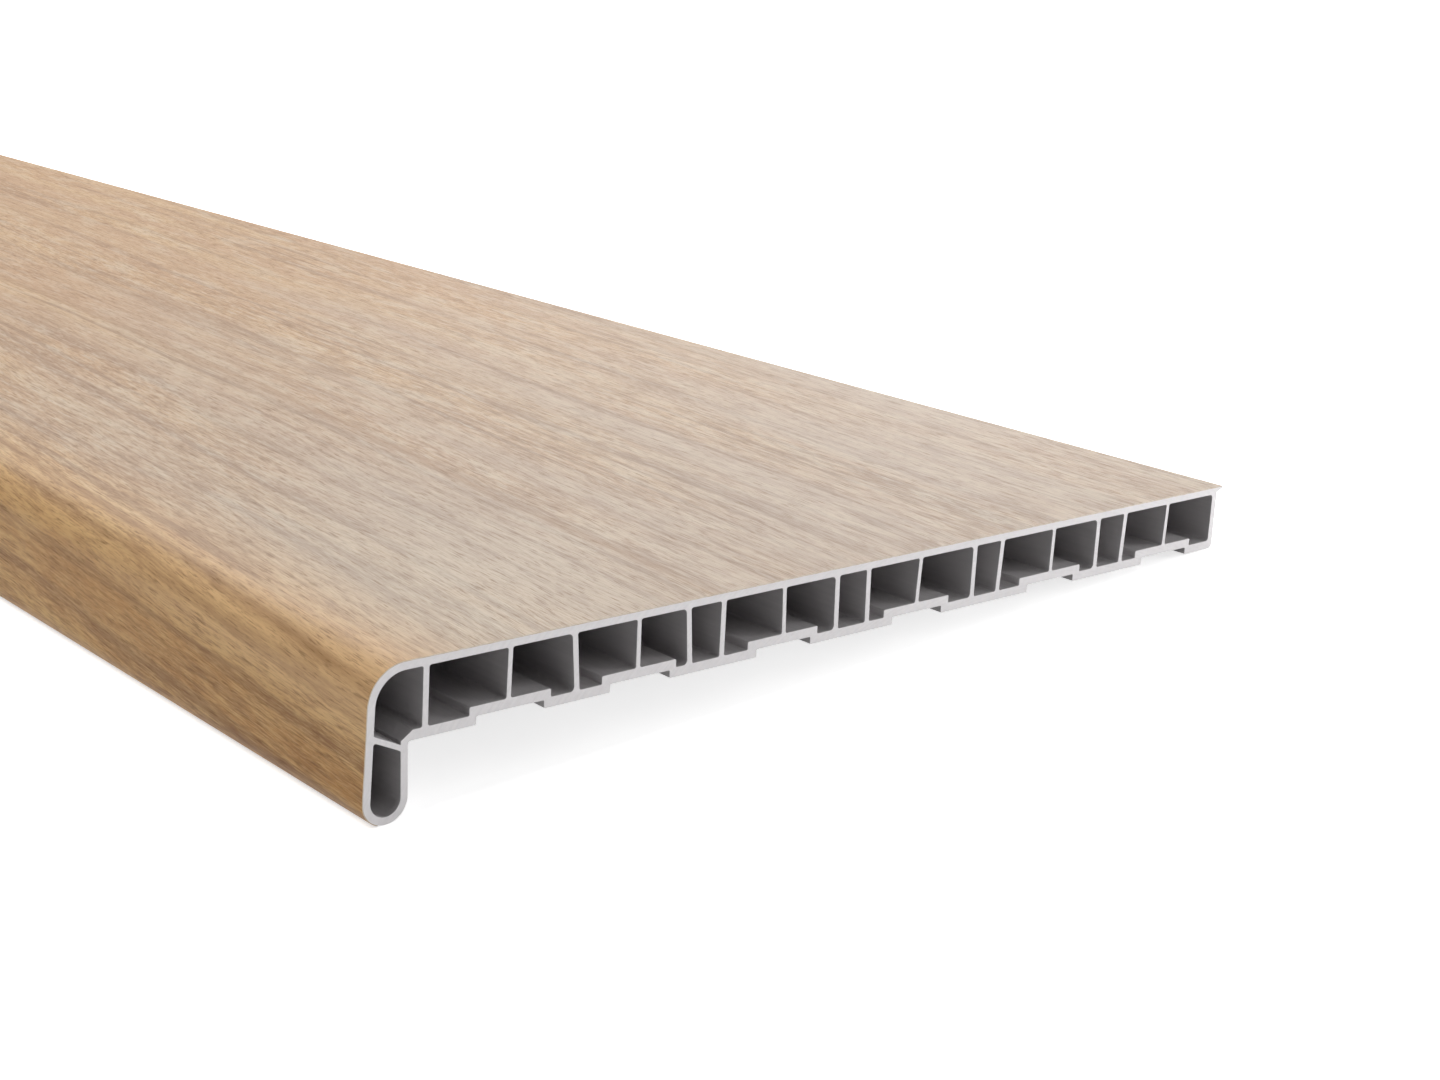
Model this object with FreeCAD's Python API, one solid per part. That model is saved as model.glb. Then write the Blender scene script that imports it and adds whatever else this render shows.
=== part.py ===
import FreeCAD, Part
import math
import os
from collections import namedtuple

# Window sill board: a length of hollow-chamber plastic extrusion with a drop nose,
# and a thin decor film laid over its face and nose.
# Millimetres. X runs along the board, Y from the nose (-Y) to the back edge (+Y), Z up.
# The origin is midway along the length and width, level with the lowest point of the nose.

# Overall sizes
board_length = 1000.0
board_width = 300.0
board_thickness = 19.0
nose_height = 37.5

# Decor film over the face and the front of the nose
film_thickness = 0.25
film_wrap_angle = 70.0

# Nose: its depth front to back, the lean of its front and the round into the face
nose_depth = 11.8
nose_lean_angle = 3.2
face_round = 9.75
nose_heel_round = 0.8

# Divider between the two nose chambers, and the sloped floor beside it
divider_thickness = 1.3
divider_angle = 26.0
divider_drop = 0.45
heel_rise = 0.4
heel_run = 3.1

# Walls
skin_wall = 1.85
floor_wall = 2.5
back_wall = 1.9
main_web = 1.5
groove_web = 1.2

# Grooves along the underside, each under a groove web
groove_depth = 2.1
groove_round = 0.4

# Back edge: the face runs past the back wall as a thin lip
lip_reach = 2.5
lip_root = 1.3
lip_tip = 0.4
back_round = 1.5

# Chambers: the round in their corners, the fuller one where a chamber ends at a main web,
# and the narrowest chamber that still gets a web
chamber_round = 0.6
main_web_round = 1.2
narrowest_chamber = 8.0

# Webs, by their centres at mid height, and their leans: how much further back the top of a
# web stands than its foot. The first web stands behind the nose. Each bay then goes on with
# its spacings: to the groove web, to the next main web, and to that web's twin.
# A groove's edges and the steps of the floor over it are given from the groove web.
first_web = 16.4
first_web_lean = 0.3
Groove = namedtuple("Groove", "front back front_step back_step")
Bay = namedtuple("Bay", "to_groove_web to_main_web to_twin_web leans groove")
bays = [
    Bay(22.6, 18.9, 0.0, (0.5, -0.9, 0.0), Groove(9.0, 9.9, 10.9, 11.8)),
    Bay(18.6, 15.7, 10.7, (0.0, -0.9, 0.1), Groove(8.3, 9.9, 10.8, 11.8)),
    Bay(20.3, 18.2, 11.1, (-0.5, -0.3, -0.3), Groove(8.8, 9.5, 11.8, 11.8)),
    Bay(18.7, 21.2, 10.5, (0.8, 0.1, 0.9), Groove(9.1, 9.3, 12.4, 11.9)),
    Bay(21.4, 19.2, 11.5, (0.4, 0.1, 0.8), Groove(9.4, 9.8, 12.9, 12.4)),
    Bay(19.3, 21.4, 10.6, (0.6, 0.0, 0.0), Groove(9.8, 10.4, 12.9, 12.1)),
]

# Heights and places that follow from the sizes above, measured from the nose's
# foremost front and lowest point
underside = nose_height - board_thickness
face_of_plastic = nose_height - film_thickness
ceiling = face_of_plastic - skin_wall
low_floor = underside + floor_wall
groove_roof = underside + groove_depth
raised_floor = groove_roof + floor_wall
back_outside = board_width - lip_reach
back_inside = back_outside - back_wall
tip_radius = (nose_depth - film_thickness) / 2
nose_back_inside = nose_depth - skin_wall

Web = namedtuple("Web", "centre lean thickness front_round groove")


def point(y, z):
    """Return the section point that lies y behind the nose front and z above the nose tip."""
    return FreeCAD.Vector(-board_length / 2, y - board_width / 2, z)


def front_face(z, outward):
    """Return y on the leaning front at height z, a distance outward of the bare plastic."""
    lean = math.radians(nose_lean_angle)
    tip_centre = film_thickness + tip_radius
    return tip_centre + (math.sin(lean) * (z - tip_radius) - tip_radius - outward) / math.cos(lean)


def rounded_wire(corners):
    """Return a closed wire through corners (y, z, radius), each turned by its own arc."""
    places = [point(y, z) for y, z, radius in corners]
    bends = []
    for index, (y, z, radius) in enumerate(corners):
        here = places[index]
        back = (places[index - 1] - here).normalize()
        ahead = (places[(index + 1) % len(places)] - here).normalize()
        half_angle = back.getAngle(ahead) / 2
        reach = radius / math.tan(half_angle)
        middle = (back + ahead).normalize()
        crown = here + middle * (radius / math.sin(half_angle) - radius)
        bends.append((here + back * reach, crown, here + ahead * reach, radius))
    edges = []
    for index, (entry, crown, leave, radius) in enumerate(bends):
        if radius > 0:
            edges.append(Part.Arc(entry, crown, leave).toShape())
        next_entry = bends[(index + 1) % len(bends)][0]
        if leave.distanceToPoint(next_entry) > 1e-6:
            edges.append(Part.LineSegment(leave, next_entry).toShape())
    return Part.Wire(edges)


def on_circle(y, z, radius, angle):
    """Return the section point on a circle about (y, z), at an angle in degrees."""
    turn = math.radians(angle)
    return point(y + radius * math.cos(turn), z + radius * math.sin(turn))


def arc_about(y, z, radius, start_angle, end_angle):
    """Return an arc edge about (y, z) between two angles in degrees."""
    angles = (start_angle, (start_angle + end_angle) / 2, end_angle)
    return Part.Arc(*[on_circle(y, z, radius, angle) for angle in angles]).toShape()


def place_webs():
    """Return the webs from the nose to the back, as many as the board's width has room for."""
    webs = [Web(first_web, first_web_lean, main_web, chamber_round, None)]
    centre = first_web
    index = 0
    while True:
        bay = bays[min(index, len(bays) - 1)]
        groove_room = bay.groove.back_step + 3 * chamber_round
        steps = [
            (bay.to_groove_web, bay.leans[0], groove_web, chamber_round, bay.groove, groove_room),
            (bay.to_main_web, bay.leans[1], main_web, main_web_round, None, narrowest_chamber),
            (bay.to_twin_web, bay.leans[2], main_web, chamber_round, None, narrowest_chamber),
        ]
        for spacing, lean, thickness, front_round, groove, room in steps:
            if spacing == 0:
                continue
            centre += spacing
            if centre > back_inside - room:
                return webs
            webs.append(Web(centre, lean, thickness, front_round, groove))
        index += 1


def web_side(web, z, side):
    """Return y on a web at height z: on its nose side for side -1, on its back side for side 1."""
    middle = (ceiling + low_floor) / 2
    leaned = web.lean * (z - middle) / (ceiling - low_floor)
    return web.centre + leaned + side * web.thickness / 2


def section_outline(webs):
    """Return the wire round the outside of the plastic section."""
    corners = [
        (board_width, face_of_plastic, 0),
        (front_face(face_of_plastic, 0), face_of_plastic, face_round),
        (front_face(0, 0), 0, tip_radius),
        (nose_depth, 0, tip_radius),
        (nose_depth, underside, nose_heel_round),
    ]
    for web in webs:
        if web.groove:
            front = web.centre - web.groove.front
            back = web.centre + web.groove.back
            corners.append((front, underside, groove_round))
            corners.append((front, groove_roof, groove_round))
            corners.append((back, groove_roof, groove_round))
            corners.append((back, underside, groove_round))
    corners.append((back_outside, underside, back_round))
    corners.append((back_outside, face_of_plastic - lip_root, 0))
    corners.append((board_width, face_of_plastic - lip_tip, 0))
    return rounded_wire(corners)


def divider_top(y):
    """Return the height of the nose divider's upper side at y."""
    fall = math.tan(math.radians(divider_angle))
    return underside - divider_drop + fall * (nose_back_inside - y)


def divider_meets_front(depth):
    """Return where a line, depth below the divider's upper side, meets the nose's front wall."""
    fall = math.tan(math.radians(divider_angle))
    slant = math.tan(math.radians(nose_lean_angle))
    base = front_face(0, -skin_wall)
    y = (base + slant * (divider_top(0) - depth)) / (1 + slant * fall)
    return y, divider_top(y) - depth


def nose_chambers(webs):
    """Return the wires of the nose's lower chamber and of the upper one behind the round."""
    inner_tip = tip_radius - skin_wall
    depth = divider_thickness / math.cos(math.radians(divider_angle))
    low_y, low_z = divider_meets_front(depth)
    high_y, high_z = divider_meets_front(0)
    lower = rounded_wire([
        (low_y, low_z, chamber_round),
        (front_face(skin_wall, -skin_wall), skin_wall, inner_tip),
        (nose_back_inside, skin_wall, inner_tip),
        (nose_back_inside, divider_top(nose_back_inside) - depth, chamber_round),
    ])
    upper = rounded_wire([
        (web_side(webs[0], ceiling, -1), ceiling, chamber_round),
        (front_face(ceiling, -skin_wall), ceiling, face_round - skin_wall),
        (high_y, high_z, 0),
        (nose_back_inside, divider_top(nose_back_inside), 0),
        (nose_back_inside, underside + heel_rise, 0),
        (nose_back_inside + heel_run, low_floor, 0),
        (web_side(webs[0], low_floor, -1), low_floor, chamber_round),
    ])
    return [lower, upper]


def chamber(web, following):
    """Return the wire of the chamber between two webs, its floor stepped beside a groove."""
    left_floor = raised_floor if web.groove else low_floor
    right_floor = raised_floor if following.groove else low_floor
    end_round = following.front_round
    step = None
    if web.groove and not following.groove:
        step = web.centre + web.groove.back_step
    if following.groove and not web.groove:
        step = following.centre - following.groove.front_step
    corners = [(web_side(web, ceiling, 1), ceiling, chamber_round)]
    start = web_side(web, left_floor, 1) + 2 * chamber_round
    end = web_side(following, right_floor, -1) - end_round - chamber_round
    if step is not None and start < step < end:
        corners.append((web_side(web, left_floor, 1), left_floor, chamber_round))
        corners.append((step, left_floor, groove_round))
        corners.append((step, right_floor, groove_round))
        corners.append((web_side(following, right_floor, -1), right_floor, end_round))
    else:
        floor = max(left_floor, right_floor)
        corners.append((web_side(web, floor, 1), floor, chamber_round))
        corners.append((web_side(following, floor, -1), floor, end_round))
    corners.append((web_side(following, ceiling, -1), ceiling, end_round))
    return rounded_wire(corners)


def board_chambers(webs):
    """Return the wires of the chambers between the webs and up to the back wall."""
    back = Web(back_inside + back_wall / 2, 0.0, back_wall, main_web_round, None)
    return [chamber(web, following) for web, following in zip(webs, webs[1:] + [back])]


def make_hollow_board():
    """Return the extruded plastic board as one solid, with every chamber open at both ends."""
    webs = place_webs()
    wires = [section_outline(webs)] + nose_chambers(webs) + board_chambers(webs)
    section = Part.makeFace(wires, "Part::FaceMakerBullseye")
    return section.extrude(FreeCAD.Vector(board_length, 0, 0))


def make_decor_film():
    """Return the film as one solid, from the lip's tip over the face and round the nose."""
    tip_y = film_thickness + tip_radius
    bend_z = face_of_plastic - face_round
    bend_y = front_face(bend_z, 0) + face_round / math.cos(math.radians(nose_lean_angle))
    front = 180.0 - nose_lean_angle
    end = 180.0 + film_wrap_angle
    tip_outer = tip_radius + film_thickness
    bend_outer = face_round + film_thickness
    lines = [
        (point(board_width, face_of_plastic), point(board_width, nose_height)),
        (point(board_width, nose_height), point(bend_y, nose_height)),
        (on_circle(bend_y, bend_z, bend_outer, front), on_circle(tip_y, tip_radius, tip_outer, front)),
        (on_circle(tip_y, tip_radius, tip_outer, end), on_circle(tip_y, tip_radius, tip_radius, end)),
        (on_circle(tip_y, tip_radius, tip_radius, front), on_circle(bend_y, bend_z, face_round, front)),
        (point(bend_y, face_of_plastic), point(board_width, face_of_plastic)),
    ]
    arcs = [
        arc_about(bend_y, bend_z, bend_outer, 90.0, front),
        arc_about(tip_y, tip_radius, tip_outer, front, end),
        arc_about(tip_y, tip_radius, tip_radius, front, end),
        arc_about(bend_y, bend_z, face_round, 90.0, front),
    ]
    edges = [Part.LineSegment(start, stop).toShape() for start, stop in lines] + arcs
    wire = Part.Wire(Part.__sortEdges__(edges))
    return Part.Face(wire).extrude(FreeCAD.Vector(board_length, 0, 0))


os.makedirs("parts", exist_ok=True)
nodes = {"hollow_board": make_hollow_board(), "decor_film": make_decor_film()}
for name, shape in nodes.items():
    shape.exportStep("parts/" + name + ".step")
    print(name, shape.isValid(), len(shape.Solids), round(shape.Volume / 1000, 2), "cm3", shape.BoundBox)
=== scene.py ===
"""Window sill board: a hollow plastic extrusion with an oak decor film, dressed for its picture.

Sizes are written in millimetres, as on the section drawing, and turned to metres once.
Section places are (y, z): y behind the foremost front of the nose, z above the nose tip.
"""

import logging
import math
from dataclasses import dataclass, field
from enum import Enum
from typing import Any, NamedTuple, Optional

import bpy
from bpy.types import Material, Node, NodeSocket, NodeTree, Object
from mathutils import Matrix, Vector

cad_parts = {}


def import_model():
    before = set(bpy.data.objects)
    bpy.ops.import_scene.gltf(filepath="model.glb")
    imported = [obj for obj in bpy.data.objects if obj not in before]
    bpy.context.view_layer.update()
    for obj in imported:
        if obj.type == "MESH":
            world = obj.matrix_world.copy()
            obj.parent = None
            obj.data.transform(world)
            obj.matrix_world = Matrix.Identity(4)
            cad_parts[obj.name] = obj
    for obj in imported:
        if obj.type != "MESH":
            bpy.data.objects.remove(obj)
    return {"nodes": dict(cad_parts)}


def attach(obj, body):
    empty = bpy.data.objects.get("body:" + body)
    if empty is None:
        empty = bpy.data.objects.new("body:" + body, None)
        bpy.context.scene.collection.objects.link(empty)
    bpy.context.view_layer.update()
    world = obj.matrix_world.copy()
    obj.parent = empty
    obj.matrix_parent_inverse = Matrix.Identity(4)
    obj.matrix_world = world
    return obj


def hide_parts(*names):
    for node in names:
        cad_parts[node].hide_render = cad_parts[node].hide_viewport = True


MM = 0.001
WHITE = "#ffffff"

log = logging.getLogger("sill_board")

frame: dict[str, Any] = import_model()


class Corner(NamedTuple):
    """A corner of a section outline in millimetres, with the radius that rounds it."""

    y: float
    z: float
    radius: float


class Groove(NamedTuple):
    """A groove's edges and the steps of the floor over it, in millimetres from its web."""

    front: float
    back: float
    front_step: float
    back_step: float


class Bay(NamedTuple):
    """One bay: the spacings to its groove web, main web and twin, their leans, and its groove."""

    to_groove_web: float
    to_main_web: float
    to_twin_web: float
    leans: tuple[float, float, float]
    groove: Groove


class Web(NamedTuple):
    """One web: its centre, how far its top leans back, its thickness and what stands beside it."""

    centre: float
    lean: float
    thickness: float
    front_round: float
    groove: Optional[Groove]


class Fade(NamedTuple):
    """A share that goes from first to last while a reading goes from start to end, held beyond."""

    start: float
    end: float
    first: Any = 0.0
    last: Any = 1.0

    def inputs(self, reading: Any) -> dict[str, Any]:
        """Name the inputs of the Map Range node that fades this reading."""
        limits = {"From Min": self.start, "From Max": self.end, "To Min": self.first, "To Max": self.last}
        return {"Value": reading, **limits}


class Layer(NamedTuple):
    """A layer of noise along the grain: its marks' length and width in millimetres, and their detail."""

    length: float
    width: float
    detail: float
    crispness: float = 0.58


class OakLayer(Enum):
    """The layers of the oak print, each with the size of its marks."""

    BANDS = Layer(330.0, 19.0, 3.0)
    BLUSHES = Layer(260.0, 34.0, 1.0)
    STREAKS = Layer(420.0, 6.0, 2.0)
    CLOUDS = Layer(44.0, 8.0, 2.0)
    FIGURE = Layer(19.0, 1.6, 5.0, 0.74)
    RINGS = Layer(260.0, 13.0, 2.0, 0.5)
    DASHES = Layer(8.0, 0.46, 2.0, 0.62)
    HAIRS = Layer(7.0, 0.4, 2.0, 0.7)


class Mark(NamedTuple):
    """Marks of the print: their layer, where and how strongly they show in it, and their tone."""

    layer: OakLayer
    fade: Fade
    dark: bool


class HeartLine(NamedTuple):
    """A long brown line of the print: its place across the grain, its reach beside that, its strength."""

    place: float
    reach: float
    strength: float


class FilmReadings(NamedTuple):
    """Sockets that tell, in millimetres, where a place on the film lies, and what each layer gives there.

    along runs from the far end, laid from the back lip over the face and down the nose, and
    across is measured across the wandering grain.
    """

    along: Any
    laid: Any
    across: Any
    layers: dict[OakLayer, Any]


class PvcSurface(Enum):
    """How a face of the plastic was made."""

    EXTRUDED = "drawn through the die"
    SAWN = "cut to length with a circular saw"


def linear(code: str) -> tuple[float, float, float, float]:
    """Turn an sRGB hex colour into linear values.

    Args:
        code: the colour as "#rrggbb".

    Returns:
        Red, green and blue in linear light, and an alpha of 1.
    """
    values = []
    for start in (1, 3, 5):
        share = int(code[start:start + 2], 16) / 255
        values.append(share / 12.92 if share <= 0.04045 else ((share + 0.055) / 1.055) ** 2.4)
    return (values[0], values[1], values[2], 1.0)


def add_node(
    tree: NodeTree,
    kind: str,
    inputs: Optional[dict[Any, Any]] = None,
    **settings: Any,
) -> Node:
    """Add one node with its settings, and set or link its inputs.

    Args:
        tree: the shader or geometry tree that gets the node.
        kind: the node's type, such as "ShaderNodeMath".
        inputs: for each input name or index, a value or the socket that feeds it.
        **settings: properties of the node itself.

    Returns:
        The new node.
    """
    made = tree.nodes.new(kind)
    for name, value in settings.items():
        setattr(made, name, value)
    for key, value in (inputs or {}).items():
        if isinstance(value, NodeSocket):
            tree.links.new(value, made.inputs[key])
        else:
            made.inputs[key].default_value = value
    return made


def faded(tree: NodeTree, *parts: Any) -> Any:
    """Work out a share as the product of its parts.

    Args:
        tree: the node tree.
        *parts: sockets, numbers, or pairs of a reading and its fade.

    Returns:
        The socket with the share.
    """
    share = None
    for part in parts:
        if isinstance(part, tuple):
            reading, fade = part
            part = add_node(tree, "ShaderNodeMapRange", fade.inputs(reading)).outputs[0]
        if share is None:
            share = part
        else:
            factors = {0: share, 1: part}
            share = add_node(tree, "ShaderNodeMath", factors, operation="MULTIPLY").outputs[0]
    return share


def weighted_sum(tree: NodeTree, base: Any, *terms: tuple[Any, float]) -> Any:
    """Add readings to a base, each times its weight.

    Args:
        tree: the node tree.
        base: the socket or number to start from.
        *terms: pairs of a reading and its weight.

    Returns:
        The socket with the sum.
    """
    total = base
    for reading, weight in terms:
        inputs = {0: reading, 1: weight, 2: total}
        total = add_node(tree, "ShaderNodeMath", inputs, operation="MULTIPLY_ADD").outputs[0]
    return total


def distance_from(tree: NodeTree, place: float, reading: Any) -> Any:
    """Find how far a reading is from one value.

    Args:
        tree: the node tree.
        place: the value.
        reading: the socket with the reading.

    Returns:
        The socket with the distance.
    """
    beside = weighted_sum(tree, -place, (reading, 1.0))
    return add_node(tree, "ShaderNodeMath", {0: beside}, operation="ABSOLUTE").outputs[0]


def lay_colour(tree: NodeTree, under: Any, colour: Any, *parts: Any) -> Any:
    """Lay a colour over another.

    Args:
        tree: the node tree.
        under: the colour below, as a hex value or a socket.
        colour: the colour above, likewise.
        *parts: the parts that give its share, as for faded.

    Returns:
        The socket with the colour.
    """
    tones = [linear(tone) if isinstance(tone, str) else tone for tone in (under, colour)]
    share = faded(tree, *parts)
    mixed = add_node(tree, "ShaderNodeMix", {0: share, 6: tones[0], 7: tones[1]}, data_type="RGBA")
    return mixed.outputs[2]


def new_surface(name: str) -> tuple[Material, NodeTree]:
    """Start a material with an empty tree.

    Args:
        name: the material's name.

    Returns:
        The material and its node tree.
    """
    material = bpy.data.materials.new(name)
    material.use_nodes = True
    material.node_tree.nodes.clear()
    return material, material.node_tree


def finish_surface(
    tree: NodeTree, inputs: dict[str, Any], relief: Optional[tuple[Any, float]] = None
) -> None:
    """Finish a material with one Principled shader.

    Args:
        tree: the material's node tree.
        inputs: the shader's inputs.
        relief: the socket with a height, and the depth in millimetres that a height of 1 stands for.
    """
    given = dict(inputs)
    if relief:
        bump_inputs = {"Height": relief[0], "Strength": 1.0, "Distance": relief[1] * MM}
        given["Normal"] = add_node(tree, "ShaderNodeBump", bump_inputs).outputs[0]
    shader = add_node(tree, "ShaderNodeBsdfPrincipled", given)
    add_node(tree, "ShaderNodeOutputMaterial", {"Surface": shader.outputs["BSDF"]})


@dataclass(frozen=True)
class OakDecorFilm:
    """Printed oak decor on a PVC film, embossed with pores and lacquered matt.

    The print gives broad tonal bands along the board, clouds, brown streaks, growth lines, two
    long heart lines and short dark pores. On the face it is warm oak at the far end and turns
    rose-grey toward the near end: the print's own rose-grey, with painted sheen that grows toward
    the near end. It stays honey on the nose, has a painted highlight over the round that grows
    toward the near end, and a pale place in front of the near end. The embossing breaks the sheen
    up, which the eye reads as wood.

    Fades over the film are in millimetres, and fades in a layer are in its values.
    """

    # Colours of the print, and the colour of the painted highlight over the round. The rose-grey and the
    # umber also carry painted sheen.
    honey: str = "#ad7d44"
    straw: str = "#bf955c"
    # Rose-grey of the face: partly the print's own tone, partly painted sheen toward the near end.
    rose: str = "#ad9b8a"
    heart: str = "#825a32"
    pore: str = "#614220"
    fleck: str = "#d0ac76"
    # Umber: the dark marks' tone under the rose-grey, so partly painted sheen.
    umber: str = "#735947"
    bloom: str = "#c6baa7"
    # Colour of the painted highlight over the round.
    round_highlight_colour: str = "#d8b182"

    # How the grain slants and wanders.
    slant: float = 0.075
    wander: Layer = Layer(320.0, 133.333, 1.0)
    wander_reach: float = 14.0
    ripple: Layer = Layer(60.0, 20.0, 1.0)
    ripple_reach: float = 1.4

    # Where the tones lie over the film.
    off_nose: Fade = Fade(262.0, 298.0, 1.0, 0.0)
    # Painted sheen: the rose-grey rises from the print's share of 0.4 toward the near end, and the spread
    # blurs where the rise starts.
    sheen_drift: Fade = Fade(740.0, 1120.0, 0.4, 1.0)
    sheen_drift_spread: float = 300.0
    calm_along: Fade = Fade(100.0, 800.0, 0.55, 0.95)
    # Painted highlight: a light band over the round, growing and slipping toward the near end.
    highlight_rise: Fade = Fade(284.0, 298.0)
    highlight_growth: Fade = Fade(840.0, 990.0, 0.4, 0.95)
    highlight_slip: Fade = Fade(840.0, 990.0, 7.0, -2.0)
    highlight_fall: Fade = Fade(302.0, 313.0, 1.0, 0.0)
    highlight_over_marks: float = 0.5
    pale_rise: Fade = Fade(185.0, 250.0, 0.0, 0.36)
    pale_growth: Fade = Fade(840.0, 960.0)
    # A veil of rose-grey over the face: partly the print's tone, partly painted sheen.
    sheen_veil: float = 0.2

    # How the tones and marks show in the layers. A pore shows where dashes pass their limit.
    straw_in_bands: Fade = Fade(0.36, 0.64)
    rose_in_blushes: Fade = Fade(0.34, 0.6, 0.68, 0.92)
    calm_in_blushes: Fade = Fade(0.36, 0.62, 1.15, 0.7)
    marks: tuple[Mark, ...] = (
        Mark(OakLayer.STREAKS, Fade(0.54, 0.65, 0.0, 0.62), True),
        Mark(OakLayer.CLOUDS, Fade(0.5, 0.32, 0.0, 0.3), True),
        Mark(OakLayer.CLOUDS, Fade(0.5, 0.68, 0.0, 0.38), False),
        Mark(OakLayer.FIGURE, Fade(0.51, 0.33, 0.0, 0.7), True),
        Mark(OakLayer.FIGURE, Fade(0.51, 0.69, 0.0, 0.56), False),
        Mark(OakLayer.HAIRS, Fade(0.5, 0.7, 0.0, 0.6), True),
        Mark(OakLayer.HAIRS, Fade(0.5, 0.3, 0.0, 0.36), False),
    )
    ring_value: float = 0.5
    ring_edge: Fade = Fade(0.003, 0.024, 0.5, 0.0)
    ring_in_streaks: Fade = Fade(0.46, 0.58, 0.15, 1.0)
    heart_lines: tuple[HeartLine, ...] = (HeartLine(231.0, 2.4, 0.7), HeartLine(135.5, 3.5, 0.5))
    heart_line_core: float = 0.2
    heart_in_clouds: Fade = Fade(0.36, 0.56, 0.35, 1.0)
    pore_limit: Fade = Fade(0.36, 0.62, 0.54, 0.63)
    pore_edge: Fade = Fade(0.0, 0.12, 0.0, 0.46)

    # Embossing and sheen.
    emboss_depth: float = 0.06
    emboss_figure: float = 0.8
    emboss_dashes: float = -1.0
    emboss_hairs: float = -0.6
    roughness: float = 0.5
    pore_roughness: float = 0.2
    specular: float = 0.22

    def grain(self, tree: NodeTree, run: Any, layer: Layer) -> Any:
        """Add one layer of stretched noise that runs with the grain.

        Args:
            tree: the material's node tree.
            run: the socket with the place along and across the grain, in millimetres.
            layer: the size and detail of its marks.

        Returns:
            The socket with the layer's value, about 0.5 in the middle.
        """
        stretch = (1 / layer.length, 1 / layer.width, 0.0)
        scaled = add_node(tree, "ShaderNodeVectorMath", {0: run, 1: stretch}, operation="MULTIPLY")
        inputs = {
            "Vector": scaled.outputs[0],
            "Scale": 1.0,
            "Detail": layer.detail,
            "Roughness": layer.crispness,
        }
        return add_node(tree, "ShaderNodeTexNoise", inputs, noise_dimensions="2D").outputs["Fac"]

    def readings(self, tree: NodeTree) -> FilmReadings:
        """Read the film's own run map, and let the grain slant and wander across it.

        Args:
            tree: the material's node tree.

        Returns:
            The sockets that the print is worked out from.
        """
        run_map = add_node(tree, "ShaderNodeUVMap", uv_map="run").outputs[0]
        scaled = add_node(tree, "ShaderNodeVectorMath", {0: run_map, "Scale": 1 / MM}, operation="SCALE")
        flat = scaled.outputs[0]
        parts = add_node(tree, "ShaderNodeSeparateXYZ", {0: flat})
        along = parts.outputs["X"]
        laid = parts.outputs["Y"]
        across = weighted_sum(
            tree,
            laid,
            (along, -self.slant),
            (self.grain(tree, flat, self.wander), self.wander_reach),
            (self.grain(tree, flat, self.ripple), self.ripple_reach),
        )
        run = add_node(tree, "ShaderNodeCombineXYZ", {"X": along, "Y": across}).outputs[0]
        layers = {kind: self.grain(tree, run, kind.value) for kind in OakLayer}
        return FilmReadings(along, laid, across, layers)

    def round_highlight(self, tree: NodeTree, film: FilmReadings) -> Any:
        """Find the share of painted highlight, a lighter band over the round that grows to the near end.

        Args:
            tree: the material's node tree.
            film: the film's readings.

        Returns:
            The socket with the share.
        """
        slip = faded(tree, (film.along, self.highlight_slip))
        slipped = weighted_sum(tree, film.laid, (slip, 1.0))
        return faded(
            tree,
            (film.laid, self.highlight_rise),
            (film.along, self.highlight_growth),
            (slipped, self.highlight_fall),
        )

    def marked(self, tree: NodeTree, film: FilmReadings, colour: Any, off_nose: Any, rose_and_sheen: Any) -> Any:
        """Draw the streaks, clouds, flecks and growth lines over the ground.

        Args:
            tree: the material's node tree.
            film: the film's readings.
            colour: the socket with the ground's colour.
            off_nose: the share that is 1 on the face and 0 on the nose.
            rose_and_sheen: the share of rose-grey, partly the print's own tone on the face and partly
                painted sheen that grows toward the near end.

        Returns:
            The socket with the colour.
        """
        # Dark marks turn umber where the rose-grey and its painted sheen lie.
        deep = lay_colour(tree, self.heart, self.umber, rose_and_sheen)
        light = lay_colour(tree, self.fleck, self.bloom, off_nose)
        calm = faded(tree, (film.along, self.calm_along))
        blushes = film.layers[OakLayer.BLUSHES]
        bold = faded(tree, (off_nose, Fade(0.0, 1.0, 1.0, calm)), (blushes, self.calm_in_blushes))
        for mark in self.marks:
            share = (film.layers[mark.layer], mark.fade)
            colour = lay_colour(tree, colour, deep if mark.dark else light, share, bold)
        off_ring = distance_from(tree, self.ring_value, film.layers[OakLayer.RINGS])
        streaks = film.layers[OakLayer.STREAKS]
        return lay_colour(tree, colour, deep, (off_ring, self.ring_edge), (streaks, self.ring_in_streaks))

    def heart_lined(self, tree: NodeTree, film: FilmReadings, colour: Any) -> Any:
        """Draw the long heart lines, which fade in and out with the clouds.

        Args:
            tree: the material's node tree.
            film: the film's readings.
            colour: the socket with the colour below.

        Returns:
            The socket with the colour.
        """
        clouds = film.layers[OakLayer.CLOUDS]
        for line in self.heart_lines:
            off_line = distance_from(tree, line.place, film.across)
            edge = Fade(self.heart_line_core, line.reach, line.strength, 0.0)
            colour = lay_colour(tree, colour, self.heart, (off_line, edge), (clouds, self.heart_in_clouds))
        return colour

    def material(self) -> Material:
        """Build the film's material.

        Returns:
            The material, for the film's face.
        """
        material, tree = new_surface("oak_decor_pvc_film_embossed")
        film = self.readings(tree)
        layers = film.layers
        blushes = layers[OakLayer.BLUSHES]
        off_nose = faded(tree, (film.laid, self.off_nose))
        # Painted sheen: the share of rose-grey on the face, rising toward the near end.
        sheen_along = weighted_sum(tree, film.along, (blushes, self.sheen_drift_spread))
        rose_and_sheen = faded(tree, off_nose, (sheen_along, self.sheen_drift))
        round_highlight = self.round_highlight(tree, film)

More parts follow.
